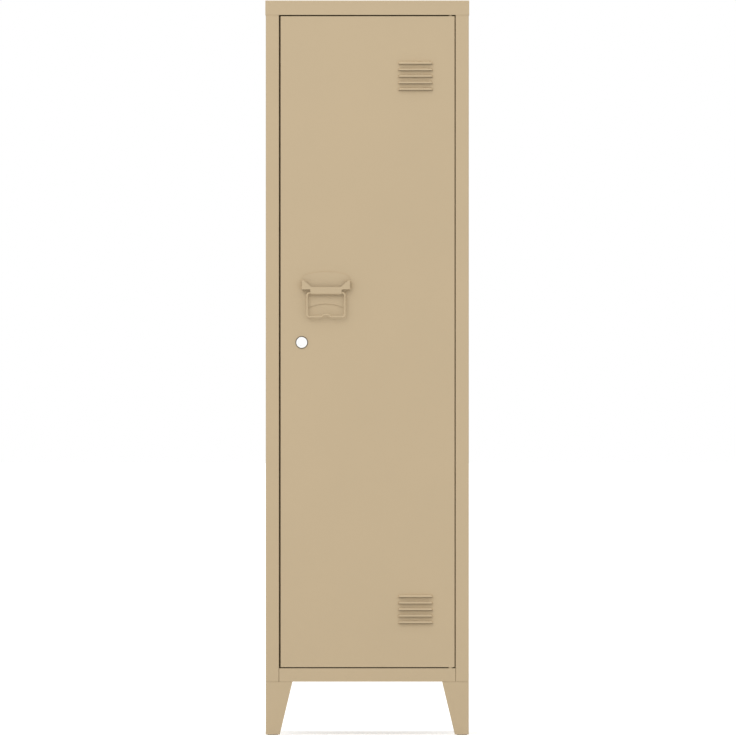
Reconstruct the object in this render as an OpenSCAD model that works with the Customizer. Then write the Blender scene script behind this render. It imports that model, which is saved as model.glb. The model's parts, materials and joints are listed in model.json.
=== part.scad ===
// Clothes locker of folded sheet steel: one louvred door on pivot pins,
// a drop handle, a cam lock, two shelves, a hanging rail and four folded legs.
// Millimetres, +Z up, front towards -Y, floor at Z = 0, centred in X and Y.

/* [Cabinet] */
// Width across the side panels
body_w = 380; // [320:1:600]
// Depth from the front of the posts to the outside of the back panel
body_d = 460; // [350:1:600]
// Height of the whole locker on its feet
total_h = 1375; // [1250:1:1900]
// Thickness of the cabinet and door sheet
sheet = 0.8; // [0.6:0.1:1.2]
// Inner radius of the folds
bend_r = 1; // [0.5:0.1:1.5]
// Height of the top cap's rim
cap_rim = 27; // [20:1:40]
// Height of the rail under the door
rail_h = 25; // [20:1:50]
// Width of the post on each side of the door
post_w = 24.8; // [22:0.1:35]
// Depth of the door opening in front of the door stop
jamb_d = 20; // [19:0.5:24]
// Width of the door stop along each post
stop_w = 11; // [9:0.5:14]
// Height of the door stop under the top cap
top_stop_h = 10; // [6:0.5:14]
// Width of the flange folded behind the back panel's edge
rear_flange = 15; // [10:1:25]
// Width of the flange folded in under the base pan
base_flange = 28; // [26:1:40]
// Clearance at the seams between folded pieces
seam = 0.2; // [0.1:0.05:0.4]

/* [Wall fixing] */
// Diameter of the two holes for wall screws
fixing_d = 8.5; // [5:0.5:12]
// Distance between the wall screw holes
fixing_span = 200; // [100:5:260]
// Distance from the locker's top down to the wall screw holes
fixing_down = 75; // [40:5:200]

/* [Door] */
// Depth of the folded door
door_d = 18; // [16:0.5:18.5]
// Gap over the door
gap_top = 2.5; // [2:0.1:4]
// Gap under the door
gap_bottom = 2.1; // [2:0.1:4]
// Gap between the door and the post on the lock side
gap_lock = 2.8; // [2:0.1:4]
// Gap between the door and the post on the hinge side
gap_hinge = 1.5; // [1.5:0.1:3]
// Width of the flange returned round the door's back
door_return = 12; // [10:1:16]
// Width of the stiffener's channel
stiffener_w = 40; // [25:1:45]
// Width of each of the stiffener's flanges
stiffener_flange = 12; // [8:1:14]
// Depth of the stiffener's channel
stiffener_d = 14; // [8:0.5:14.5]
// Distance from the door's hinge edge to the stiffener's channel
stiffener_inset = 128.5; // [110:0.5:140]
// Distance from the door's ends to the stiffener
stiffener_end = 25; // [20:1:60]

/* [Louvres] */
// Louvres in each group
louvre_count = 5; // [2:1:7]
// Width of a louvre with its rounded ends
louvre_w = 65; // [40:1:80]
// Height of a louvre's hood, from its lip up
louvre_h = 4.4; // [3.5:0.1:6]
// How far a hood stands out from the door's face
louvre_proud = 5.4; // [4.5:0.1:7]
// Height of the slit that shows under a hood's lip
louvre_slit = 0.5; // [0.3:0.1:1]
// Distance from one louvre to the next
louvre_pitch = 12.2; // [11:0.1:14]
// Distance from the door's hinge edge to the middle of the louvres
louvre_inset = 73.5; // [60:0.5:85]
// Distance from the door's top edge down to the middle louvre of the upper group
louvre_down = 111.4; // [80:0.1:140]
// Distance from the door's bottom edge up to the middle louvre of the lower group
louvre_up = 108.9; // [80:0.1:140]

/* [Door hinge] */
// Diameter of the hinge pins
pin_d = 5; // [4:0.1:5.4]
// Distance from the door's edge to the pins
hinge_inset = 8; // [7.5:0.1:10]
// Distance from the door's face to the pins
hinge_depth = 4.9; // [4.8:0.05:5.1]
// Radial clearance of the pins in their bushes
running = 0.05; // [0.02:0.01:0.1]
// Wall of the nylon bushes
bush_wall = 1.3; // [1:0.05:1.35]
// Length of the bushes inside the door
bush_l = 12; // [8:0.5:20]
// Width of the bush's flange round its sleeve
bush_brim = 0.7; // [0.4:0.1:0.9]
// Thickness of the bush's flange
bush_flange = 1; // [0.6:0.1:1.2]
// Thickness of the hinge plates
hinge_plate_t = 2; // [1.5:0.1:3]
// Length of the hinge plates
hinge_plate_l = 30; // [24:1:40]
// Thickness of the pins' heads
pin_head_t = 2; // [1:0.1:3]
// Diameter of the pins' heads
pin_head_d = 8; // [7:0.1:8]

/* [Handle] */
// Distance from the door's lock edge to the middle of the handle
handle_inset = 85.1; // [75:0.1:100]
// Height of the bail's pivot over the floor
handle_z = 827.5; // [700:1:950]
// Height of the strap's front over the door's face
handle_proud = 12; // [10:0.5:14]
// Width of the back plate
plate_w = 94.5; // [90:0.5:100]
// Thickness of the back plate
plate_t = 1.6; // [1.2:0.1:2.4]
// Height of the back plate's top over the pivot
plate_up = 39.7; // [34:0.5:46]
// Drop of the middle of the back plate's lower edge under the pivot
plate_down = 20.3; // [14:0.5:24]
// Radius of the back plate's arched top
plate_top_r = 140; // [120:5:200]
// Radius of the back plate's arched lower edge
plate_low_r = 80; // [70:1:120]
// Radius of the back plate's upper corners
plate_corner_r = 18; // [10:1:22]
// Radius of the back plate's lower corners
plate_foot_r = 3; // [2:0.5:5]
// Width of the back plate's lower part, behind the bail
tongue_w = 71; // [68:0.5:74]
// Height of the back plate's shoulders over the pivot
shoulder_low = 4; // [3:0.5:6]
// Radius of the back plate's shoulders
shoulder_r = 5; // [3:0.5:6]
// Radius where the back plate's lower part meets its shoulders
waist_r = 4; // [2:0.5:6]
// Thickness of the strap
strap_t = 1.2; // [1:0.1:1.5]
// Width over the strap's ears
ear_w = 91.4; // [88:0.5:92]
// Width of the flat tip of each ear
ear_tip = 4.5; // [2:0.5:6]
// Height of the ears' tips over the pivot
ear_up = 23.3; // [20:0.5:26]
// Height of the ears' lower edge over the pivot
ear_low = 6.7; // [6:0.1:8]
// Height of the bar between the ears over the pivot
bar_up = 11.1; // [9:0.1:14]
// Distance between the feet of the ears' slopes
slope_foot = 55.4; // [50:0.5:57]
// Width of the neck that is curled round the bail
neck_w = 58.6; // [50:0.5:59]
// Width of the strap's feet on the back plate
strap_foot = 10; // [8:0.5:11]

/* [Bail] */
// Diameter of the bail's wire
wire_d = 3.75; // [3:0.05:4]
// Width over the bail
bail_w = 74.5; // [72:0.5:80]
// Drop of the bail's lower edge under the pivot
bail_drop = 46.7; // [40:0.1:60]
// Radius of the wire's bends at the corners
bail_bend = 5; // [3:0.25:5]
// Width of the notch in the lower bar at its foot
notch_w = 18; // [14:0.5:24]
// Width of the notch at its top
notch_top = 7.5; // [5:0.5:9]
// Rise of the notch
notch_rise = 4; // [2:0.25:5]
// Radius of the wire's bends at the notch
notch_bend = 2.5; // [1.9:0.1:3]

/* [Lock] */
// Distance from the door's lock edge to the lock
lock_inset = 39.7; // [37:0.1:45]
// Height of the lock over the floor
lock_z = 735; // [600:1:760]
// Diameter of the lock's head
lock_head_d = 20.6; // [20:0.1:24]
// Diameter of the flat front of the lock's head
lock_face_d = 19.8; // [18:0.1:20]
// Height of the lock's head over the door's face
lock_head_t = 2.6; // [2:0.1:3.5]
// Diameter of the rubber gasket under the lock's head
gasket_d = 23; // [21:0.1:25]
// Thickness of the gasket
gasket_t = 0.8; // [0.5:0.1:1]
// Diameter of the lock's threaded body
barrel_d = 18.8; // [17:0.1:20]
// Width across the flats of the lock's body
barrel_flats = 16.2; // [15:0.1:17]
// Diameter of the plug that the key turns
plug_d = 12.5; // [10:0.1:14]
// Width of the keyway
keyway_w = 1.2; // [0.8:0.1:1.8]
// Length of the keyway
keyway_l = 7.6; // [5:0.1:9]
// Width across the flats of the nut behind the door
lock_nut_af = 24; // [22:0.5:26]
// Thickness of that nut
lock_nut_t = 3.5; // [2:0.1:5]
// Length of the cam from the plug's axis to its tip
cam_l = 41; // [36:0.5:43]
// Width of the cam
cam_w = 15; // [12:0.5:16]
// Thickness of the cam
cam_t = 2; // [1.5:0.1:3]
// Clearance between the cam and the back of the door stop
cam_gap = 0.5; // [0.3:0.1:1]
// Side of the plug's square tail
tail_w = 7; // [5:0.1:8]
// Diameter of the screw that holds the cam
cam_screw_d = 4; // [3:0.5:5]
// Diameter of that screw's head
cam_head_d = 11.2; // [10:0.1:12]

/* [Legs] */
// Height of the legs with their glides
leg_h = 100; // [80:1:160]
// Width of a leg's walls at the top
leg_top_w = 50; // [47:1:60]
// Width of a leg's walls at the floor
leg_foot_w = 26; // [24:1:40]
// Height of the joint line between a leg's walls and the cabinet
leg_joint = 0.5; // [0.3:0.1:0.8]
// Thickness of the legs' steel
leg_t = 1.5; // [1.2:0.1:2.5]
// Diameter of the glides under the legs
glide_d = 20; // [14:0.5:21]
// Height of a leg's steel over the floor
glide_t = 1; // [0.8:0.1:3]
// Diameter of the leg bolts
bolt_d = 6; // [5:0.5:6]
// Distance of a bolt from the nearer outer face of its leg
bolt_near = 14; // [13:0.5:16]
// Distance of a bolt from the farther outer face of its leg
bolt_far = 38; // [36:0.5:40]

/* [Inside] */
// Distance from the locker's top down to the hat shelf
hat_space = 295; // [200:5:350]
// Distance from the rail under the door up to the lower shelf
shoe_space = 275; // [150:5:400]
// Height of the shelves' rims
shelf_rim = 25; // [15:1:35]
// Width of the flange returned under the shelves' rims
shelf_return = 10; // [6:1:15]
// Distance from the front of the posts to the shelves
shelf_setback = 30; // [28:1:60]
// Width of both legs of the shelf runners
runner_w = 15; // [10:1:20]
// Diameter of the hanging rail
rail_d = 19; // [15:0.5:25]
// Wall of the hanging rail
rail_wall = 1; // [0.8:0.1:2]
// Distance from the hat shelf down to the middle of the hanging rail
rail_drop = 75; // [65:1:120]
// Depth of the sockets that hold the hanging rail
socket_l = 10; // [6:0.5:20]
// Thickness of the sockets' wall and plate
socket_t = 2; // [1.5:0.1:3]
// Width of a socket's plate round its cup
socket_brim = 8; // [5:0.5:12]
// Diameter of the rubber door buffers
buffer_d = 7; // [5:0.5:8]
// Clearance between the buffers and the closed door
buffer_gap = 0.3; // [0.2:0.05:0.5]

/* [Hidden] */
$fn = 48;
bend_steps = 3;
arc_steps = 8;
over = 1;
// Radial clearance of pieces that sit still in a hole
fit = 0.05;

// Planes of the cabinet: the cap laps the body by one sheet all round.
front = -(body_d + sheet - handle_proud) / 2;
back = front + body_d;
half_w = body_w / 2;
opening_half = half_w - post_w;
cap_low = total_h - cap_rim;
cap_under = total_h - sheet;
rail_top = leg_h + rail_h;
stop_back = front + jamb_d + sheet;
panel_top = cap_under - bend_r;
hat_shelf_z = total_h - hat_space;
lower_shelf_z = rail_top + shoe_space;

// The door and its pins
door_left = -opening_half + gap_lock;
door_right = opening_half - gap_hinge;
door_low = rail_top + gap_bottom;
door_high = cap_low - gap_top;
door_back = front + door_d;
hinge_x = door_right - hinge_inset;
hinge_y = front + hinge_depth;
bush_r = pin_d / 2 + running + bush_wall;
stiffener_right = door_right - stiffener_inset;
stiffener_left = stiffener_right - stiffener_w;
louvre_x = door_right - louvre_inset;
handle_x = door_left + handle_inset;
lock_x = door_left + lock_inset;

// The hinge plates lie between the folds in front of and behind them.
hinge_plate_edge = 0.5;
hinge_plate_low = [door_right - hinge_plate_l, front + bend_r + hinge_plate_edge];
hinge_plate_high = [door_right, front + jamb_d - hinge_plate_edge];
pin_tip = 0.8;
pin_short = 1;

// A hood comes straight out of the door's face and then turns down in a quarter round.
hood_step = louvre_proud - louvre_h;
hood_straight = louvre_w - 2 * louvre_h;

// The strap curls round the bail's upper bar.
wire_r = wire_d / 2;
curl_bore = wire_r + running;
curl_r = curl_bore + strap_t;
strap_front = front - handle_proud;
bail_y = strap_front + curl_r;
plate_front = front - plate_t;

// Depths behind the door's face in the lock
cam_depth = jamb_d + sheet + cam_gap;
cam_play = 0.3;
barrel_l = cam_depth - cam_play;
plug_play = 0.1;
keyway_deep = 3;
cam_screw_l = 8;
cam_head_h = 2.5;
cam_head_edge = 1.2;
recess_w = 1.3;
recess_l = 5.4;
recess_deep = 1.5;

// Leg bolts, as places from a leg's outer corner, and their hexagons
leg_bolt_places = [[bolt_near, bolt_far], [bolt_far, bolt_near]];
bolt_hole_d = bolt_d + 0.6;
bolt_head_h = 4;
bolt_past_nut = 1.5;
bolt_af = 10;
nut_h = 5;
leg_pad_gap = 1;
// Share of a hexagon's width that its turned face keeps
hexagon_face = 0.96;

// The glides' stems clip through the legs' feet.
glide_stem_r = 4;
glide_barb = 0.8;
glide_stem_over = 4;

// Rivets between the handle and the door
rivet_r = 1.9;
rivet_head_r = 3.2;
rivet_head_h = 1.2;
rivet_edge = 0.5;
rivet_z = (ear_up + ear_low) / 2;
rivet_x = (ear_w - strap_foot - strap_t) / 2;

// Folded sheet: a line of right-angled folds becomes an outline of even
// thickness that lies to the left of the line.
function unit(v) = v / norm(v);
function left_of(d) = [-d[1], d[0]];
function turn(a, b) = a[0] * b[1] - a[1] * b[0];
function fold_arc(p, a, b, r_line, r) = [
    for (i = [0:bend_steps])
        p + r_line * (b - a) + r * (a * sin(90 * i / bend_steps) - b * cos(90 * i / bend_steps))
];
function heading(line, i) = unit(line[i + 1] - line[i]);
function fold_face(line, t, far) = let(last = len(line) - 1) concat(
    [line[0] + (far ? t : 0) * left_of(heading(line, 0))],
    [for (i = [1:1:last - 1])
        let(
            a = heading(line, i - 1),
            b = heading(line, i),
            inside = turn(a, b) > 0,
            r_line = inside ? bend_r + t : bend_r,
            r_far = inside ? bend_r : bend_r + t
        )
        each fold_arc(line[i], a, b, r_line, far ? r_far : r_line)],
    [line[last] + (far ? t : 0) * left_of(heading(line, last - 1))]
);
function reversed(list) = [for (i = [len(list) - 1:-1:0]) list[i]];
function folded(line, t) = concat(fold_face(line, t, false), reversed(fold_face(line, t, true)));
function arc(c, r, from, to, first = 0, last = arc_steps) = [
    for (i = [first:last])
        let(a = from + (to - from) * i / arc_steps)
        [c[0] + r * cos(a), c[1] + r * sin(a)]
];

// Extrude a drawing of Y and Z along X, or one of X and Z along Y.
module along_x(from, to) {
    translate([from, 0, 0]) rotate([90, 0, 90]) linear_extrude(to - from) children();
}
module along_y(from, to) {
    translate([0, to, 0]) rotate([90, 0, 0]) linear_extrude(to - from) children();
}
module block(low, high) {
    translate(low) cube(high - low);
}
module both_sides() {
    children();
    mirror([1, 0, 0]) children();
}
// Turn a piece drawn upright so that it comes out of the door's face.
module out_of_door(x, z) {
    translate([x, front, z]) rotate([90, 0, 0]) children();
}
module ring(r_out, r_in, h) {
    rotate_extrude() translate([r_in, 0]) square([r_out - r_in, h]);
}
// Hexagon whose corners are turned off at its lower end, or at both ends
module hexagon(af, h, both_ends) {
    r = af / 2 / cos(30);
    face_r = hexagon_face * af / 2;
    turned = (r - face_r) * tan(30);
    intersection() {
        cylinder(r = r, h = h, $fn = 6);
        rotate_extrude() polygon([
            [0, 0],
            [face_r, 0],
            [r, turned],
            [r, both_ends ? h - turned : h],
            [both_ends ? face_r : r, h],
            [0, h]
        ]);
    }
}

module top_cap() color("tan") {
    pan = [
        [back + sheet, cap_low],
        [back + sheet, total_h],
        [front - sheet, total_h],
        [front - sheet, cap_low]
    ];
    lintel = [
        [front - sheet, cap_low + 2 * bend_r + 2 * sheet],
        [front - sheet, cap_low],
        [front + jamb_d, cap_low],
        [front + jamb_d, cap_low - top_stop_h]
    ];
    stop_half = opening_half - stop_w - seam;
    difference() {
        union() {
            along_x(-half_w - sheet, half_w + sheet) polygon(folded(pan, sheet));
            both_sides() along_x(half_w, half_w + sheet)
                polygon(fold_face(pan, sheet, false));
            along_x(-opening_half + seam, opening_half - seam) polygon(folded(lintel, sheet));
        }
        both_sides() block(
            [stop_half, front, cap_low - top_stop_h - over],
            [half_w, stop_back + over, cap_low]
        );
        translate([hinge_x, hinge_y, cap_low - over])
            cylinder(d = pin_d + 2 * fit, h = sheet + 2 * over);
    }
}

module side_panel() color("tan") {
    line = [
        [opening_half - stop_w, front + jamb_d],
        [opening_half, front + jamb_d],
        [opening_half, front],
        [half_w, front],
        [half_w, back - sheet],
        [half_w - rear_flange, back - sheet]
    ];
    difference() {
        union() {
            translate([0, 0, leg_h]) linear_extrude(panel_top - leg_h) polygon(folded(line, sheet));
            // Between the cap's bends the wall reaches up to the cap's sheet.
            block(
                [half_w - sheet, front + bend_r + sheet, panel_top - over],
                [half_w, back - 2 * sheet - bend_r, cap_under]
            );
        }
        block(
            [opening_half - stop_w - over, front, leg_h - over],
            [opening_half, stop_back + over, rail_top]
        );
        block(
            [opening_half - stop_w - over, front, cap_low],
            [opening_half, stop_back + over, total_h]
        );
    }
}
module side_panel_left() mirror([1, 0, 0]) side_panel();
module side_panel_right() side_panel();

module back_panel() color("tan") {
    difference() {
        block([-half_w, back - sheet, leg_h], [half_w, back, panel_top]);
        both_sides() along_y(back - sheet - over, back + over)
            translate([fixing_span / 2, total_h - fixing_down]) circle(d = fixing_d);
    }
}

// The base pan's plan: as wide as the opening in front, then wall to wall.
module base_plan(inset) {
    slim = opening_half - seam - inset;
    wide = half_w - sheet - inset;
    rear = back - 2 * sheet - inset;
    r = bend_r + sheet - inset;
    translate([-slim, front + inset]) square([2 * slim, rear - r - front - inset]);
    polygon(rounded(-wide, stop_back + seam + inset, wide, rear, r));
}
module at_leg_bolts() {
    for (sx = [-1, 1], sy = [-1, 1], p = leg_bolt_places)
        translate([sx * (half_w - p[0]), sy < 0 ? front + p[1] : back - p[1], 0]) children();
}
module base_pan() color("tan") {
    window_half = half_w - base_flange;
    difference() {
        translate([0, 0, leg_h]) linear_extrude(rail_h) base_plan(0);
        translate([0, 0, leg_h + sheet]) linear_extrude(rail_h - 2 * sheet) base_plan(sheet);
        block(
            [-window_half, front + base_flange, leg_h - over],
            [window_half, back - base_flange, leg_h + sheet + over]
        );
        translate([hinge_x, hinge_y, rail_top - sheet - over])
            cylinder(d = pin_d + 2 * fit, h = sheet + 2 * over);
        at_leg_bolts() translate([0, 0, leg_h - over]) cylinder(d = bolt_hole_d, h = sheet + 2 * over);
    }
}

module shelf(z) color("tan") {
    half = half_w - sheet - seam;
    rear = back - 2 * sheet - bend_r;
    y0 = front + shelf_setback;
    difference() {
        block([-half, y0, z - shelf_rim], [half, rear, z]);
        block(
            [-half + sheet, y0 + sheet, z - shelf_rim + sheet],
            [half - sheet, rear - sheet, z - sheet]
        );
        block(
            [-half + shelf_return, y0 + shelf_return, z - shelf_rim - over],
            [half - shelf_return, rear - shelf_return, z - sheet - over]
        );
    }
}
module hat_shelf() shelf(hat_shelf_z);
module lower_shelf() shelf(lower_shelf_z);

module shelf_runner(z) color("tan") {
    x = half_w - sheet;
    line = [[x, z - shelf_rim - runner_w], [x, z - shelf_rim], [x - runner_w, z - shelf_rim]];
    along_y(front + shelf_setback + shelf_return, back - rear_flange) polygon(folded(line, sheet));
}
module hat_shelf_runner_left() mirror([1, 0, 0]) shelf_runner(hat_shelf_z);
module hat_shelf_runner_right() shelf_runner(hat_shelf_z);
module lower_shelf_runner_left() mirror([1, 0, 0]) shelf_runner(lower_shelf_z);
module lower_shelf_runner_right() shelf_runner(lower_shelf_z);

rail_y = (front + back) / 2;
rail_z = hat_shelf_z - rail_drop;
rail_play = 0.3;
rail_half = half_w - sheet - socket_t - rail_play;
module hanging_rail() color("silver") {
    translate([-rail_half, rail_y, rail_z]) rotate([0, 90, 0])
        ring(rail_d / 2, rail_d / 2 - rail_wall, 2 * rail_half);
}
module rail_socket() color("silver") {
    cup_r = rail_d / 2 + fit;
    translate([half_w - sheet, rail_y, rail_z]) rotate([0, -90, 0]) {
        cylinder(r = cup_r + socket_t + socket_brim, h = socket_t);
        translate([0, 0, socket_t]) ring(cup_r + socket_t, cup_r, socket_l);
    }
}
module rail_socket_left() mirror([1, 0, 0]) rail_socket();
module rail_socket_right() rail_socket();

module hinge_plate(z) color("silver") {
    difference() {
        translate([0, 0, z]) linear_extrude(hinge_plate_t)
            translate(hinge_plate_low) square(hinge_plate_high - hinge_plate_low);
        translate([hinge_x, hinge_y, z - over])
            cylinder(d = pin_d + 2 * fit, h = hinge_plate_t + 2 * over);
    }
}
module hinge_plate_top() hinge_plate(cap_low + sheet);
module hinge_plate_bottom() hinge_plate(rail_top - sheet - hinge_plate_t);

// A pin stands on its head, which starts at z, and its tip is chamfered.
module hinge_pin(length) color("silver") {
    r = pin_d / 2;
    rotate_extrude() polygon([
        [0, 0],
        [pin_head_d / 2, 0],
        [pin_head_d / 2, pin_head_t],
        [r, pin_head_t],
        [r, length - pin_tip],
        [r - pin_tip, length],
        [0, length]
    ]);
}
pin_reach = pin_head_t + hinge_plate_t + sheet + bush_l - pin_short;
module hinge_pin_bottom() {
    translate([hinge_x, hinge_y, rail_top - sheet - hinge_plate_t - pin_head_t])
        hinge_pin(pin_reach + gap_bottom);
}
module hinge_pin_top() {
    translate([hinge_x, hinge_y, cap_low + sheet + hinge_plate_t + pin_head_t])
        mirror([0, 0, 1]) hinge_pin(pin_reach + gap_top);
}
module hinge_washer() color("white") {
    translate([hinge_x, hinge_y, rail_top])
        ring(bush_r + bush_brim, pin_d / 2 + 2 * running, gap_bottom - bush_flange - fit);
}
module hinge_bush() color("white") {
    bore_r = pin_d / 2 + running;
    rotate_extrude() polygon([
        [bore_r, 0],
        [bush_r + bush_brim, 0],
        [bush_r + bush_brim, bush_flange],
        [bush_r, bush_flange],
        [bush_r, bush_flange + bush_l],
        [bore_r, bush_flange + bush_l]
    ]);
}
module hinge_bush_bottom() {
    translate([hinge_x, hinge_y, door_low - bush_flange]) hinge_bush();
}
module hinge_bush_top() {
    translate([hinge_x, hinge_y, door_high + bush_flange]) mirror([0, 0, 1]) hinge_bush();
}

module door_buffers() color("dimgray") {
    places = [
        [-opening_half + stop_w / 2, lower_shelf_z],
        [-opening_half + stop_w / 2, hat_shelf_z],
        [0, cap_low - top_stop_h / 2 - gap_top / 2]
    ];
    for (p = places)
        along_y(door_back + buffer_gap, front + jamb_d) translate(p) circle(d = buffer_d);
}

// A leg is drawn with its outer corner at the origin, its walls along +X and +Y.
module leg_walls() {
    line = [[0, leg_top_w], [0, 0], [leg_top_w, 0]];
    taper = [
        [leg_foot_w, 0],
        [leg_top_w + over, 0],
        [leg_top_w + over, leg_h],
        [leg_top_w, leg_h]
    ];
    difference() {
        translate([0, 0, glide_t]) linear_extrude(leg_h - leg_joint - glide_t)
            polygon(folded(line, leg_t));
        along_y(-over, leg_top_w) polygon(taper);
        along_x(-over, leg_t + bend_r) polygon(taper);
    }
}
// Square plate between a leg's walls, to one leg_t over z
module leg_pad(side, z) {
    block([leg_t / 2, leg_t / 2, z], [side, side, z + leg_t]);
}
module leg() color("tan") {
    difference() {
        union() {
            leg_walls();
            leg_pad(leg_top_w - leg_pad_gap, leg_h - leg_t);
            leg_pad(leg_foot_w - leg_pad_gap, glide_t);
        }
        for (p = leg_bolt_places)
            translate([p[0], p[1], leg_h - leg_t - over]) cylinder(d = bolt_hole_d, h = leg_t + 2 * over);
        translate([leg_foot_w / 2, leg_foot_w / 2, 0])
            cylinder(r = glide_stem_r + fit, h = glide_t + leg_t + over);
    }
}
module glide() color("gainsboro") {
    barb_low = glide_t + leg_t + fit;
    stem_top = glide_t + leg_t + glide_stem_over;
    translate([leg_foot_w / 2, leg_foot_w / 2, 0]) rotate_extrude() polygon([
        [0, 0],
        [glide_d / 2 - glide_t / 2, 0],
        [glide_d / 2, glide_t / 2],
        [glide_d / 2, glide_t],
        [glide_stem_r, glide_t],
        [glide_stem_r, barb_low],
        [glide_stem_r + glide_barb, barb_low],
        [glide_stem_r, stem_top],
        [0, stem_top]
    ]);
}
// Put a piece drawn at one corner under the left or right, front or rear corner.
module at_corner(right, rear) {
    mirror([right ? 1 : 0, 0, 0]) translate([-half_w, rear ? back : front, 0])
        mirror([0, rear ? 1 : 0, 0]) children();
}
module leg_front_left() at_corner(false, false) leg();
module leg_front_right() at_corner(true, false) leg();
module leg_rear_left() at_corner(false, true) leg();
module leg_rear_right() at_corner(true, true) leg();
module glide_front_left() at_corner(false, false) glide();
module glide_front_right() at_corner(true, false) glide();
module glide_rear_left() at_corner(false, true) glide();
module glide_rear_right() at_corner(true, true) glide();

module leg_bolts() color("silver") {
    low = leg_h - leg_t - bolt_head_h;
    at_leg_bolts() translate([0, 0, low]) {
        hexagon(bolt_af, bolt_head_h, false);
        cylinder(d = bolt_d, h = bolt_head_h + leg_t + sheet + nut_h + bolt_past_nut);
    }
}
module leg_nuts() color("silver") {
    at_leg_bolts() translate([0, 0, leg_h + sheet]) difference() {
        hexagon(bolt_af, nut_h, true);
        translate([0, 0, -over]) cylinder(d = bolt_d + 2 * fit, h = nut_h + 2 * over);
    }
}

// Rounded rectangle in X and Y, as a list of points
function rounded(x0, y0, x1, y1, r) = concat(
    arc([x1 - r, y1 - r], r, 0, 90),
    arc([x0 + r, y1 - r], r, 90, 180),
    arc([x0 + r, y0 + r], r, 180, 270),
    arc([x1 - r, y0 + r], r, 270, 360)
);

// A hood's outer or inner form, over a height and in front of a depth: a quarter
// round with a ball at each end, carried straight back into the door
module hood_body(r, low, deep) {
    half = hood_straight / 2;
    along_x(-half, half) intersection() {
        union() {
            translate([-hood_step, 0]) circle(r = r);
            translate([-hood_step, -r]) square([hood_step + deep, 2 * r]);
        }
        translate([-hood_step - r, low]) square([hood_step + r + deep, r - low]);
    }
    for (s = [-1, 1]) intersection() {
        translate([s * half, 0, 0]) {
            translate([0, -hood_step, 0]) sphere(r = r);
            along_y(-hood_step, deep) circle(r = r);
        }
        block(
            [s < 0 ? -half - r : half, -hood_step - r, low],
            [s < 0 ? -half : half + r, deep, r]
        );
    }
}
module at_louvres() {
    for (z = [door_low + louvre_up, door_high - louvre_down], i = [0:louvre_count - 1])
        translate([louvre_x, front, z + (i - (louvre_count - 1) / 2) * louvre_pitch - louvre_h / 2])
            children();
}

module door_panel() color("tan") {
    r = bend_r + sheet;
    difference() {
        union() {
            translate([0, 0, door_low]) linear_extrude(door_high - door_low)
                polygon(rounded(door_left, front, door_right, door_back, r));
            at_louvres() hood_body(louvre_h, 0, sheet / 2);
        }
        translate([0, 0, door_low + sheet]) linear_extrude(door_high - door_low - 2 * sheet)
            polygon(rounded(
                door_left + sheet, front + sheet, door_right - sheet, door_back - sheet, bend_r
            ));
        block(
            [door_left + door_return, door_back - sheet - over, door_low + door_return],
            [door_right - door_return, door_back + over, door_high - door_return]
        );
        at_louvres() hood_body(louvre_h - sheet, -louvre_slit, sheet + over);
        for (z = [door_low, door_high - sheet]) translate([hinge_x, hinge_y, z - over])
            cylinder(r = bush_r + fit, h = sheet + 2 * over);
        out_of_door(lock_x, lock_z) translate([0, 0, -sheet - over]) intersection() {
            cylinder(d = barrel_d + 2 * fit, h = sheet + 2 * over);
            translate([0, 0, (sheet + 2 * over) / 2])
                cube([barrel_flats + 2 * fit, barrel_d + over, sheet + 3 * over], center = true);
        }
        at_rivets() translate([0, 0, -sheet - over]) cylinder(r = rivet_r + fit, h = sheet + 2 * over);
    }
}

module door_stiffener() color("tan") {
    face = front + sheet;
    line = [
        [stiffener_left - stiffener_flange, face],
        [stiffener_left, face],
        [stiffener_left, face + stiffener_d],
        [stiffener_right, face + stiffener_d],
        [stiffener_right, face],
        [stiffener_right + stiffener_flange, face]
    ];
    translate([0, 0, door_low + stiffener_end])
        linear_extrude(door_high - door_low - 2 * stiffener_end) polygon(folded(line, sheet));
}

// The back plate's outline: arched top, rounded corners and shoulders, narrower foot
plate_half = plate_w / 2;
tongue_half = tongue_w / 2;
top_c = [0, plate_up - plate_top_r];
low_c = [0, -plate_down - plate_low_r];
corner_x = plate_half - plate_corner_r;
corner_c = [corner_x, top_c[1] + sqrt(pow(plate_top_r - plate_corner_r, 2) - pow(corner_x, 2))];
foot_x = tongue_half - plate_foot_r;
foot_c = [foot_x, low_c[1] + sqrt(pow(plate_low_r + plate_foot_r, 2) - pow(foot_x, 2))];
corner_a = atan2(corner_c[1] - top_c[1], corner_c[0]);
foot_a = atan2(foot_c[1] - low_c[1], foot_c[0]);
shoulder_c = [plate_half - shoulder_r, shoulder_low + shoulder_r];
waist_c = [tongue_half + waist_r, shoulder_low - waist_r];
function mirrored(c) = [-c[0], c[1]];
plate_outline = concat(
    arc(corner_c, plate_corner_r, corner_a, 0),
    arc(shoulder_c, shoulder_r, 0, -90),
    arc(waist_c, waist_r, 90, 180),
    arc(foot_c, plate_foot_r, 0, foot_a - 180),
    arc(low_c, plate_low_r, foot_a, 180 - foot_a, 1, arc_steps - 1),
    arc(mirrored(foot_c), plate_foot_r, 360 - foot_a, 180),
    arc(mirrored(waist_c), waist_r, 0, 90),
    arc(mirrored(shoulder_c), shoulder_r, 270, 180),
    arc(mirrored(corner_c), plate_corner_r, 180, 180 - corner_a),
    arc(top_c, plate_top_r, 180 - corner_a, corner_a, 1, arc_steps - 1)
);

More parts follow.
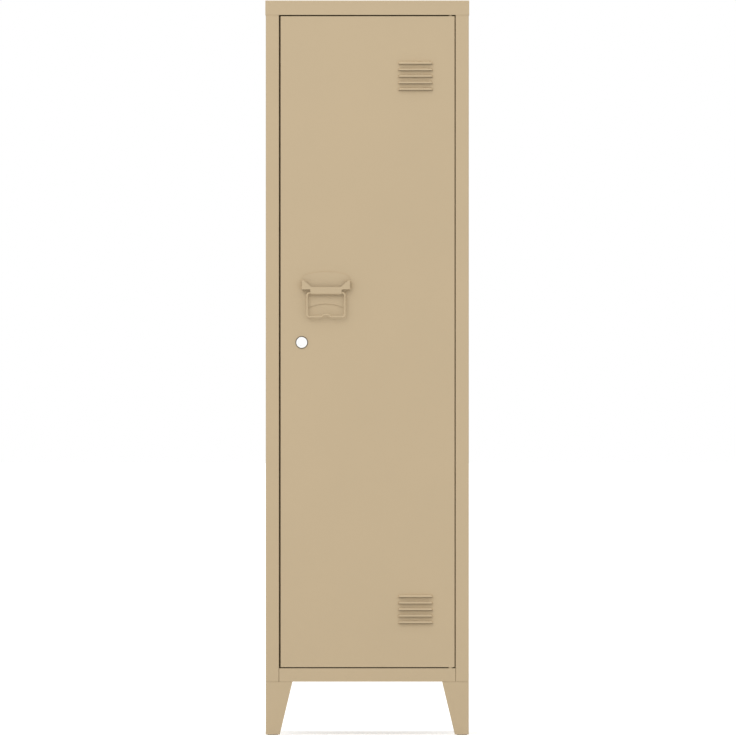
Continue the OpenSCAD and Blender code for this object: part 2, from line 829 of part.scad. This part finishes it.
module at_rivets() {
    for (s = [-1, 1]) out_of_door(handle_x + s * rivet_x, handle_z + rivet_z) children();
}
module handle_plate() color("tan") {
    difference() {
        out_of_door(handle_x, handle_z) linear_extrude(plate_t) polygon(plate_outline);
        at_rivets() translate([0, 0, -over]) cylinder(r = rivet_r + fit, h = plate_t + 2 * over);
    }
}
module handle_strap() color("tan") {
    // Bridge in plan, from one foot over the front to the other
    bridge = [
        [strap_foot - ear_w / 2, plate_front],
        [-ear_w / 2, plate_front],
        [-ear_w / 2, strap_front],
        [ear_w / 2, strap_front],
        [ear_w / 2, plate_front],
        [ear_w / 2 - strap_foot, plate_front]
    ];
    tip = ear_w / 2 - ear_tip;
    cut = [
        [-tip, ear_up],
        [-slope_foot / 2, bar_up],
        [slope_foot / 2, bar_up],
        [tip, ear_up],
        [tip, ear_up + over],
        [-tip, ear_up + over]
    ];
    // Neck seen from the side: the sheet runs down and rolls round the bail
    meet = acos((curl_r - strap_t) / curl_r);
    neck = concat(
        [[strap_front + strap_t, handle_z + bar_up], [strap_front, handle_z + bar_up]],
        [for (i = [0:3 * arc_steps])
            let(a = 180 + (360 - meet) * i / (3 * arc_steps))
            [bail_y + curl_r * cos(a), handle_z + curl_r * sin(a)]]
    );
    difference() {
        union() {
            translate([handle_x, 0, handle_z + ear_low]) linear_extrude(ear_up - ear_low)
                polygon(folded(bridge, strap_t));
            along_x(handle_x - neck_w / 2, handle_x + neck_w / 2) polygon(neck);
        }
        translate([handle_x, 0, handle_z]) along_y(strap_front - over, strap_front + strap_t + bend_r)
            polygon(cut);
        translate([handle_x - neck_w, bail_y, handle_z]) rotate([0, 90, 0])
            cylinder(r = curl_bore, h = 2 * neck_w);
        at_rivets() translate([0, 0, plate_t - over]) cylinder(r = rivet_r + fit, h = strap_t + 2 * over);
    }
}
module handle_rivets() color("tan") {
    head_low = plate_t + strap_t;
    at_rivets() rotate_extrude() polygon([
        [0, -sheet - rivet_head_h],
        [rivet_head_r - rivet_edge, -sheet - rivet_head_h],
        [rivet_head_r, -sheet - rivet_edge],
        [rivet_head_r, -sheet],
        [rivet_r, -sheet],
        [rivet_r, head_low],
        [rivet_head_r, head_low],
        [rivet_head_r, head_low + rivet_edge],
        [rivet_head_r - 2 * rivet_edge, head_low + rivet_head_h],
        [0, head_low + rivet_head_h]
    ]);
}

// Round wire bent along a closed loop of points, with its own radius at each.
// A bend is a hair thicker than the straight wire and laps over its ends.
bend_swell = 0.01;
bend_lap = 0.05;
module bent_wire(points, radii, d) {
    n = len(points);
    head = [for (i = [0:n - 1]) unit(points[(i + 1) % n] - points[i])];
    bend = [for (i = [0:n - 1])
        let(a = head[(i + n - 1) % n], b = head[i])
        atan2(turn(a, b), a[0] * b[0] + a[1] * b[1])];
    trim = [for (i = [0:n - 1]) radii[i] * tan(abs(bend[i]) / 2)];
    for (i = [0:n - 1]) {
        a = head[(i + n - 1) % n];
        side = bend[i] > 0 ? 1 : -1;
        start = points[i] - trim[i] * a;
        centre = start + side * radii[i] * left_of(a);
        from = atan2(a[1], a[0]) - side * 90;
        translate([centre[0], centre[1], 0]) rotate([0, 0, bend[i] > 0 ? from : from + bend[i]])
            rotate_extrude(angle = abs(bend[i])) translate([radii[i], 0]) circle(d = d + 2 * bend_swell);
        run = points[i] + (trim[i] - bend_lap) * head[i];
        length = norm(points[(i + 1) % n] - points[i]) - trim[i] - trim[(i + 1) % n] + 2 * bend_lap;
        translate([run[0], run[1], 0]) rotate([0, 0, atan2(head[i][1], head[i][0])])
            rotate([0, 90, 0]) cylinder(d = d, h = length);
    }
}
module bail() color("tan") {
    side = bail_w / 2 - wire_r;
    low = wire_r - bail_drop;
    points = [
        [-side, low],
        [-notch_w / 2, low],
        [-notch_top / 2, low + notch_rise],
        [notch_top / 2, low + notch_rise],
        [notch_w / 2, low],
        [side, low],
        [side, 0],
        [-side, 0]
    ];
    radii = [
        bail_bend, notch_bend, notch_bend, notch_bend,
        notch_bend, bail_bend, bail_bend, bail_bend
    ];
    translate([handle_x, bail_y, handle_z]) rotate([90, 0, 0]) bent_wire(points, radii, wire_d);
}

module lock_barrel() color("gainsboro") {
    bore_r = plug_d / 2 + running;
    out_of_door(lock_x, lock_z) difference() {
        rotate_extrude() polygon([
            [bore_r, -barrel_l],
            [barrel_d / 2, -barrel_l],
            [barrel_d / 2, gasket_t],
            [lock_head_d / 2, gasket_t],
            [lock_head_d / 2, lock_head_t - (lock_head_d - lock_face_d) / 2],
            [lock_face_d / 2, lock_head_t],
            [bore_r, lock_head_t]
        ]);
        for (s = [-1, 1]) translate([s * (barrel_flats / 2 + barrel_d / 2), 0, -barrel_l / 2 - over])
            cube([barrel_d, 2 * barrel_d, barrel_l + 2 * over], center = true);
    }
}
module lock_gasket() color("dimgray") {
    out_of_door(lock_x, lock_z) ring(gasket_d / 2, barrel_d / 2 + fit, gasket_t);
}
module lock_nut() color("silver") {
    out_of_door(lock_x, lock_z) translate([0, 0, -sheet - lock_nut_t]) difference() {
        hexagon(lock_nut_af, lock_nut_t, true);
        translate([0, 0, -over]) cylinder(d = barrel_d + 2 * fit, h = lock_nut_t + 2 * over);
    }
}
module lock_plug() color("gainsboro") {
    tail_l = cam_depth + cam_t - barrel_l - plug_play;
    out_of_door(lock_x, lock_z) difference() {
        union() {
            translate([0, 0, -barrel_l]) cylinder(d = plug_d, h = barrel_l + lock_head_t - plug_play);
            translate([-tail_w / 2, -tail_w / 2, -barrel_l - tail_l]) cube([tail_w, tail_w, tail_l + over]);
        }
        translate([-keyway_w / 2, -keyway_l / 2, lock_head_t - keyway_deep])
            cube([keyway_w, keyway_l, keyway_deep + over]);
        translate([0, 0, -cam_depth - cam_t - over])
            cylinder(d = cam_screw_d + 2 * fit, h = cam_screw_l + 2 * over);
    }
}
module lock_cam() color("silver") {
    r = cam_w / 2;
    out_of_door(lock_x, lock_z) translate([0, 0, -cam_depth - cam_t]) difference() {
        union() {
            cylinder(r = r, h = cam_t);
            translate([-r, r - cam_l, 0]) cube([cam_w, cam_l - r, cam_t]);
            translate([0, r - cam_l, 0]) cylinder(r = r, h = cam_t);
        }
        translate([-tail_w / 2 - fit, -tail_w / 2 - fit, -over])
            cube([tail_w + 2 * fit, tail_w + 2 * fit, cam_t + 2 * over]);
    }
}
module cam_screw() color("silver") {
    r = cam_head_d / 2;
    out_of_door(lock_x, lock_z) translate([0, 0, -cam_depth - cam_t]) difference() {
        rotate_extrude() polygon([
            [0, -cam_head_h],
            [r - cam_head_edge, -cam_head_h],
            [r, cam_head_edge - cam_head_h],
            [r, 0],
            [cam_screw_d / 2, 0],
            [cam_screw_d / 2, cam_screw_l],
            [0, cam_screw_l]
        ]);
        for (a = [0, 90]) rotate([0, 0, a]) translate([-recess_l / 2, -recess_w / 2, -cam_head_h - over])
            cube([recess_l, recess_w, recess_deep + over]);
    }
}

top_cap();
side_panel_left();
side_panel_right();
back_panel();
base_pan();
hat_shelf();
lower_shelf();
hat_shelf_runner_left();
hat_shelf_runner_right();
lower_shelf_runner_left();
lower_shelf_runner_right();
hanging_rail();
rail_socket_left();
rail_socket_right();
hinge_plate_top();
hinge_plate_bottom();
hinge_pin_top();
hinge_pin_bottom();
hinge_washer();
door_buffers();
leg_front_left();
leg_front_right();
leg_rear_left();
leg_rear_right();
glide_front_left();
glide_front_right();
glide_rear_left();
glide_rear_right();
leg_bolts();
leg_nuts();
door_panel();
door_stiffener();
hinge_bush_top();
hinge_bush_bottom();
handle_plate();
handle_strap();
handle_rivets();
lock_gasket();
lock_barrel();
lock_nut();
bail();
lock_plug();
lock_cam();
cam_screw();
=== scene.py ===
"""A single clothes locker of powder-coated sheet steel, dressed for a studio picture."""

import json
import math

import bpy
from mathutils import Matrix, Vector


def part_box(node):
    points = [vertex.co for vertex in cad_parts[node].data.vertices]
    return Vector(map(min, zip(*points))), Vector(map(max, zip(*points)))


MM = 0.001

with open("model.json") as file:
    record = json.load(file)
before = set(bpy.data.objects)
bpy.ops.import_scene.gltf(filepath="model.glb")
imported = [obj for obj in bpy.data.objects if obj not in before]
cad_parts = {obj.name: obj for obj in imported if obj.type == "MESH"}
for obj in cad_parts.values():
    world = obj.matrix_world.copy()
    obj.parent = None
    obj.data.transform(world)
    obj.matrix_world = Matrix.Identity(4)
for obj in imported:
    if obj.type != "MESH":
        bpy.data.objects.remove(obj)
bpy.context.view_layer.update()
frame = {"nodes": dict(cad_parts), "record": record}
nodes = frame["nodes"]
bpy.ops.object.select_all(action="DESELECT")

# The photograph's frame in pixels, the size of one of them on the locker's front, and where the
# locker's middle and the floor lie in it
PICTURE_SIDE = 736
MM_PER_PIXEL = 1.8718
LOCKER_MIDDLE_X = 367.285
FLOOR_LINE_Y = 735.07

# The camera: sensor width and focal length in mm, and how far it sees in metres. It stands 42 m
# away, because the photograph shows next to no perspective.
SENSOR = 36.0
LENS = 1100.0
SIGHT = 500

# The room's light from the camera's side and from behind the locker, where 1 is white
LIGHT_FROM_FRONT = 1.07
LIGHT_FROM_BEHIND = 0.6

# The floor: its paper, how much whiter that looks than it is, and a side in metres that reaches
# past the camera
PAPER = "E6E6E4"
PAPER_GLOW = 0.58
FLOOR_SIDE = 240

# One softbox: where it hangs and what it points at in metres, its side and its power
SOFTBOX_PLACE = (-1.3, -3.0, 3.0)
SOFTBOX_TARGET = (0, -0.2, 1.0)
SOFTBOX_SIDE = 2.0
SOFTBOX_WATTS = 23

# Painted shade, darkening the colour in folds, gaps and under lips where shade falls: how far into
# a corner it reaches, in metres, how strongly it darkens there, how quickly it darkens towards the
# bottom of a gap, and its colour
PAINTED_SHADE_REACH = 20 * MM
PAINTED_SHADE_DEPTH = 0.015
PAINTED_SHADE_RISE = 2.0
PAINTED_SHADE_COLOUR = "644E20"

# The radius on edges of folded sheet and of turned pieces, in metres, the angle from which an
# edge counts as sharp, and the distance at which loose corners are one
SHEET_EDGE = 0.25 * MM
TURNED_EDGE = 0.15 * MM
SHARP_ANGLE = math.radians(32)
SAME_CORNER = 0.002 * MM


def camera_in_front():
    """A level camera far in front, which sees the locker as the photograph does."""
    front_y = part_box("side_panel_left")[0][1]
    # It is placed so that one pixel covers its real size in the plane of the locker's front.
    width = PICTURE_SIDE * MM_PER_PIXEL * MM
    x = (PICTURE_SIDE / 2 - LOCKER_MIDDLE_X) * MM_PER_PIXEL * MM
    z = (FLOOR_LINE_Y - PICTURE_SIDE / 2) * MM_PER_PIXEL * MM
    distance = width * LENS / SENSOR
    data = bpy.data.cameras.new("studio_camera")
    data.sensor_width = SENSOR
    data.lens = LENS
    data.clip_end = SIGHT
    camera = bpy.data.objects.new("studio_camera", data)
    camera.location = (x, front_y - distance, z)
    camera.rotation_euler = (math.radians(90), 0, 0)
    bpy.context.scene.collection.objects.link(camera)
    bpy.context.scene.camera = camera


def linear(hex_colour):
    """An sRGB hex value such as "C6B292" as a linear colour with alpha."""
    parts = [int(hex_colour[i:i + 2], 16) / 255 for i in (0, 2, 4)]
    return [p / 12.92 if p <= 0.04045 else ((p + 0.055) / 1.055) ** 2.4 for p in parts] + [1.0]


def add(material, kind, settings=None, links=None):
    """Adds a node to a material or world, with its settings and what feeds its sockets."""
    tree = material.node_tree
    node = tree.nodes.new(kind)
    for name, value in (settings or {}).items():
        if name in node.inputs:
            node.inputs[name].default_value = value
        else:
            setattr(node, name, value)
    for name, source in (links or {}).items():
        tree.links.new(source, node.inputs[name])
    return node


def new_material(name):
    """An empty material, whose nodes all come later."""
    material = bpy.data.materials.new(name)
    material.use_nodes = True
    material.node_tree.nodes.clear()
    return material


def finish_surface(material, shader, socket="BSDF"):
    """Joins a shader to the material's output."""
    out = add(material, "ShaderNodeOutputMaterial")
    material.node_tree.links.new(shader.outputs[socket], out.inputs["Surface"])
    return material


def seen_directly(material):
    """1 for rays from the camera, off gloss or through glass, which see the backdrop as white."""
    rays = add(material, "ShaderNodeLightPath")
    looked_at = add(material, "ShaderNodeMath", {"operation": "MAXIMUM"})
    material.node_tree.links.new(rays.outputs["Is Camera Ray"], looked_at.inputs[0])
    material.node_tree.links.new(rays.outputs["Is Glossy Ray"], looked_at.inputs[1])
    either = add(material, "ShaderNodeMath", {"operation": "MAXIMUM"})
    material.node_tree.links.new(looked_at.outputs[0], either.inputs[0])
    material.node_tree.links.new(rays.outputs["Is Transmission Ray"], either.inputs[1])
    return either.outputs[0]


def studio_paper():
    """Matt white paper for the floor. Where no shadow lies it is as white as the backdrop."""
    paper = new_material("studio_paper")
    matt = add(paper, "ShaderNodeBsdfDiffuse", {"Color": linear(PAPER)})
    strength = add(paper, "ShaderNodeMath", {"operation": "MULTIPLY"})
    paper.node_tree.links.new(seen_directly(paper), strength.inputs[0])
    strength.inputs[1].default_value = PAPER_GLOW
    glow = add(paper, "ShaderNodeEmission", {"Color": linear("FFFFFF")},
               {"Strength": strength.outputs[0]})
    both = add(paper, "ShaderNodeAddShader")
    paper.node_tree.links.new(matt.outputs[0], both.inputs[0])
    paper.node_tree.links.new(glow.outputs[0], both.inputs[1])
    return finish_surface(paper, both, 0)


def softbox():
    """A square soft lamp above the camera's left, turned to the locker."""
    data = bpy.data.lights.new("overhead_softbox", "AREA")
    data.shape = "SQUARE"
    data.size = SOFTBOX_SIDE
    data.energy = SOFTBOX_WATTS
    light = bpy.data.objects.new("overhead_softbox", data)
    light.location = SOFTBOX_PLACE
    towards = Vector(SOFTBOX_TARGET) - Vector(SOFTBOX_PLACE)
    light.rotation_euler = towards.to_track_quat("-Z", "Y").to_euler()
    bpy.context.scene.collection.objects.link(light)


def studio():
    """White paper floor, white surroundings and one large soft lamp."""
    bpy.ops.mesh.primitive_plane_add(size=FLOOR_SIDE, location=(0, 0, 0))
    floor = bpy.context.active_object
    floor.name = "studio_floor"
    floor.data.materials.append(studio_paper())
    world = bpy.data.worlds.new("studio_surroundings")
    world.use_nodes = True
    world.node_tree.nodes.clear()
    # The room is brighter on the camera's side, so faces turned away from it are a little darker.
    direction = add(world, "ShaderNodeTexCoord")
    place = add(world, "ShaderNodeSeparateXYZ", None, {"Vector": direction.outputs["Generated"]})
    walls = add(world, "ShaderNodeMapRange",
                {"From Min": -1.0, "To Min": LIGHT_FROM_FRONT, "To Max": LIGHT_FROM_BEHIND},
                {"Value": place.outputs["Y"]})
    strength = add(world, "ShaderNodeMapRange", {"To Max": 1.0},
                   {"Value": seen_directly(world), "To Min": walls.outputs[0]})
    sky = add(world, "ShaderNodeBackground", {"Color": linear("FFFFFF")},
              {"Strength": strength.outputs[0]})
    out = add(world, "ShaderNodeOutputWorld")
    world.node_tree.links.new(sky.outputs[0], out.inputs["Surface"])
    bpy.context.scene.world = world
    softbox()


# How the photograph is looked at
bpy.context.scene.view_settings.view_transform = "Standard"
camera_in_front()
studio()


def painted_corner_shade(material, clean):
    """Painted shade: darkens the colour in folds, under lips and behind the handle, where shade
    falls.

    Gives the colour with the painted shade on it, and how unshaded the surface is, from 0 to 1.
    """
    reach = add(material, "ShaderNodeAmbientOcclusion", {"samples": 12, "Distance": PAINTED_SHADE_REACH})
    # (1 + depth) r / (r + depth), where r is openness to a power, stays near 1 on open faces and
    # falls to 0 only deep in a gap.
    raised = add(material, "ShaderNodeMath", {"operation": "POWER"})
    material.node_tree.links.new(reach.outputs["AO"], raised.inputs[0])
    raised.inputs[1].default_value = PAINTED_SHADE_RISE
    with_depth = add(material, "ShaderNodeMath", {"operation": "ADD"})
    material.node_tree.links.new(raised.outputs[0], with_depth.inputs[0])
    with_depth.inputs[1].default_value = PAINTED_SHADE_DEPTH
    share = add(material, "ShaderNodeMath", {"operation": "DIVIDE"})
    material.node_tree.links.new(raised.outputs[0], share.inputs[0])
    material.node_tree.links.new(with_depth.outputs[0], share.inputs[1])
    unshaded = add(material, "ShaderNodeMath", {"operation": "MULTIPLY"})
    material.node_tree.links.new(share.outputs[0], unshaded.inputs[0])
    unshaded.inputs[1].default_value = 1 + PAINTED_SHADE_DEPTH
    shaded_colour = add(material, "ShaderNodeMix", {"data_type": "RGBA"})
    shaded_colour.inputs[6].default_value = linear(PAINTED_SHADE_COLOUR)
    material.node_tree.links.new(unshaded.outputs[0], shaded_colour.inputs[0])
    material.node_tree.links.new(clean, shaded_colour.inputs[7])
    return shaded_colour.outputs[2], unshaded.outputs[0]


def powder_coat():
    """Polyester powder coat, sprayed and baked: a satin skin that dries with a fine orange peel."""
    paint = new_material("powder_coat_beige")
    where = add(paint, "ShaderNodeTexCoord")
    # Orange peel: waves about 1.5 mm apart soften each highlight a little.
    peel = add(paint, "ShaderNodeTexNoise", {"Scale": 1 / (1.5 * MM), "Detail": 2.0},
               {"Vector": where.outputs["Object"]})
    bump = add(paint, "ShaderNodeBump", {"Strength": 0.35, "Distance": 0.02 * MM},
               {"Height": peel.outputs[0]})
    # Film thickness drifts over a hand's width, which barely changes the colour.
    drift = add(paint, "ShaderNodeTexNoise", {"Scale": 1 / (140 * MM), "Detail": 1.0},
                {"Vector": where.outputs["Object"]})
    tone = add(paint, "ShaderNodeMix", {"data_type": "RGBA"})
    tone.inputs[6].default_value = linear("CAB594")
    tone.inputs[7].default_value = linear("C6B292")
    paint.node_tree.links.new(drift.outputs[0], tone.inputs[0])
    gloss = add(paint, "ShaderNodeMapRange", {"To Min": 0.46, "To Max": 0.56},
                {"Value": peel.outputs[0]})
    # Painted shade: the colour darkens in folds, gaps and under lips, where shade falls.
    colour, unshaded = painted_corner_shade(paint, tone.outputs[2])
    # Where the shade is painted in, the paint is also made rougher, so it shines less there.
    dulled = add(paint, "ShaderNodeMapRange", {"From Min": 0.4, "To Min": 1.0},
                 {"Value": unshaded, "To Max": gloss.outputs[0]})
    # The resin has an index of 1.5. A fine matting agent takes most of its shine.
    skin = add(paint, "ShaderNodeBsdfPrincipled", {"IOR": 1.5, "Specular IOR Level": 0.2},
               {"Base Color": colour, "Roughness": dulled.outputs[0],
                "Normal": bump.outputs[0]})
    return finish_surface(paint, skin)


def zinc_plate():
    """Bright zinc plating on steel: a pale grey metal with a faint bluish, uneven sheen."""
    zinc = new_material("zinc_plated_steel")
    where = add(zinc, "ShaderNodeTexCoord")
    # Clouds in the passivated layer, 2.5 mm apart, as on small plated fasteners
    spangle = add(zinc, "ShaderNodeTexNoise", {"Scale": 1 / (2.5 * MM), "Detail": 3.0},
                  {"Vector": where.outputs["Object"]})
    tone = add(zinc, "ShaderNodeMix", {"data_type": "RGBA"})
    tone.inputs[6].default_value = linear("C4C8CC")
    tone.inputs[7].default_value = linear("AEB2B4")
    zinc.node_tree.links.new(spangle.outputs[0], tone.inputs[0])
    gloss = add(zinc, "ShaderNodeMapRange", {"To Min": 0.22, "To Max": 0.4},
                {"Value": spangle.outputs[0]})
    # Painted shade darkens the plating's colour in folds and gaps, as on the paint.
    metal = add(zinc, "ShaderNodeBsdfPrincipled", {"Metallic": 1.0},
                {"Base Color": painted_corner_shade(zinc, tone.outputs[2])[0],
                 "Roughness": gloss.outputs[0]})
    return finish_surface(zinc, metal)


def chrome_plate():
    """Chrome over polished zinc alloy: a mirror with only hair-fine polishing marks."""
    chrome = new_material("chrome_plate")
    where = add(chrome, "ShaderNodeTexCoord")
    # The real marks are finer than 0.1 mm. They are drawn 0.8 mm apart, so that they show.
    marks = add(chrome, "ShaderNodeTexNoise", {"Scale": 1 / (0.8 * MM), "Detail": 2.0},
                {"Vector": where.outputs["Object"]})
    gloss = add(chrome, "ShaderNodeMapRange", {"To Min": 0.05, "To Max": 0.12},
                {"Value": marks.outputs[0]})
    metal = add(chrome, "ShaderNodeBsdfPrincipled",
                {"Metallic": 1.0, "Base Color": linear("FAFAFA")},
                {"Roughness": gloss.outputs[0]})
    return finish_surface(chrome, metal)


def moulded_nylon():
    """Natural nylon, injection moulded: milky, faintly translucent and slightly waxy."""
    nylon = new_material("moulded_nylon")
    where = add(nylon, "ShaderNodeTexCoord")
    # The grain of a spark-eroded mould is about 0.1 mm. It is drawn at 0.6 mm, so that it shows.
    grain = add(nylon, "ShaderNodeTexNoise", {"Scale": 1 / (0.6 * MM), "Detail": 2.0},
                {"Vector": where.outputs["Object"]})
    bump = add(nylon, "ShaderNodeBump", {"Strength": 0.2, "Distance": 0.02 * MM},
               {"Height": grain.outputs[0]})
    tone = add(nylon, "ShaderNodeMix", {"data_type": "RGBA"})
    tone.inputs[6].default_value = linear("C9B796")
    tone.inputs[7].default_value = linear("BFAD8C")
    nylon.node_tree.links.new(grain.outputs[0], tone.inputs[0])
    # Painted shade darkens the nylon's colour in folds and gaps, as on the paint.
    body = add(nylon, "ShaderNodeBsdfPrincipled", {"Roughness": 0.42, "IOR": 1.53},
               {"Base Color": painted_corner_shade(nylon, tone.outputs[2])[0],
                "Normal": bump.outputs[0]})
    return finish_surface(nylon, body)


def moulded_rubber():
    """Black nitrile rubber, moulded: dull, with a dusty bloom on the surface."""
    rubber = new_material("moulded_rubber")
    where = add(rubber, "ShaderNodeTexCoord")
    # Bloom lies in specks about 1.2 mm apart.
    bloom = add(rubber, "ShaderNodeTexNoise", {"Scale": 1 / (1.2 * MM), "Detail": 3.0},
                {"Vector": where.outputs["Object"]})
    tone = add(rubber, "ShaderNodeMix", {"data_type": "RGBA"})
    tone.inputs[6].default_value = linear("1E1E1D")
    tone.inputs[7].default_value = linear("343331")
    rubber.node_tree.links.new(bloom.outputs[0], tone.inputs[0])
    body = add(rubber, "ShaderNodeBsdfPrincipled", {"Roughness": 0.8, "IOR": 1.52},
               {"Base Color": tone.outputs[2]})
    return finish_surface(rubber, body)


FINISHES = {
    "paint": powder_coat(),
    "zinc": zinc_plate(),
    "chrome": chrome_plate(),
    "nylon": moulded_nylon(),
    "rubber": moulded_rubber(),
}


def paint_nodes():
    """Every CAD node takes the finish of its slot in the record."""
    slots = {part["node"]: part["material_slot"] for part in frame["record"]["subparts"]}
    for name, piece in nodes.items():
        piece.data.materials.clear()
        piece.data.materials.append(FINISHES[slots[name]])


def soften_edges():
    """Folded and turned edges get the small radius that the real ones have."""
    turned = {"lock_barrel", "lock_plug", "lock_gasket", "lock_nut", "hinge_washer", "cam_screw"}
    for name, piece in nodes.items():
        weld = piece.modifiers.new("weld", "WELD")
        weld.merge_threshold = SAME_CORNER
        bevel = piece.modifiers.new("edge", "BEVEL")
        bevel.width = TURNED_EDGE if name in turned else SHEET_EDGE
        bevel.segments = 2
        bevel.limit_method = "ANGLE"
        bevel.angle_limit = SHARP_ANGLE
        bevel.use_clamp_overlap = True


paint_nodes()
soften_edges()
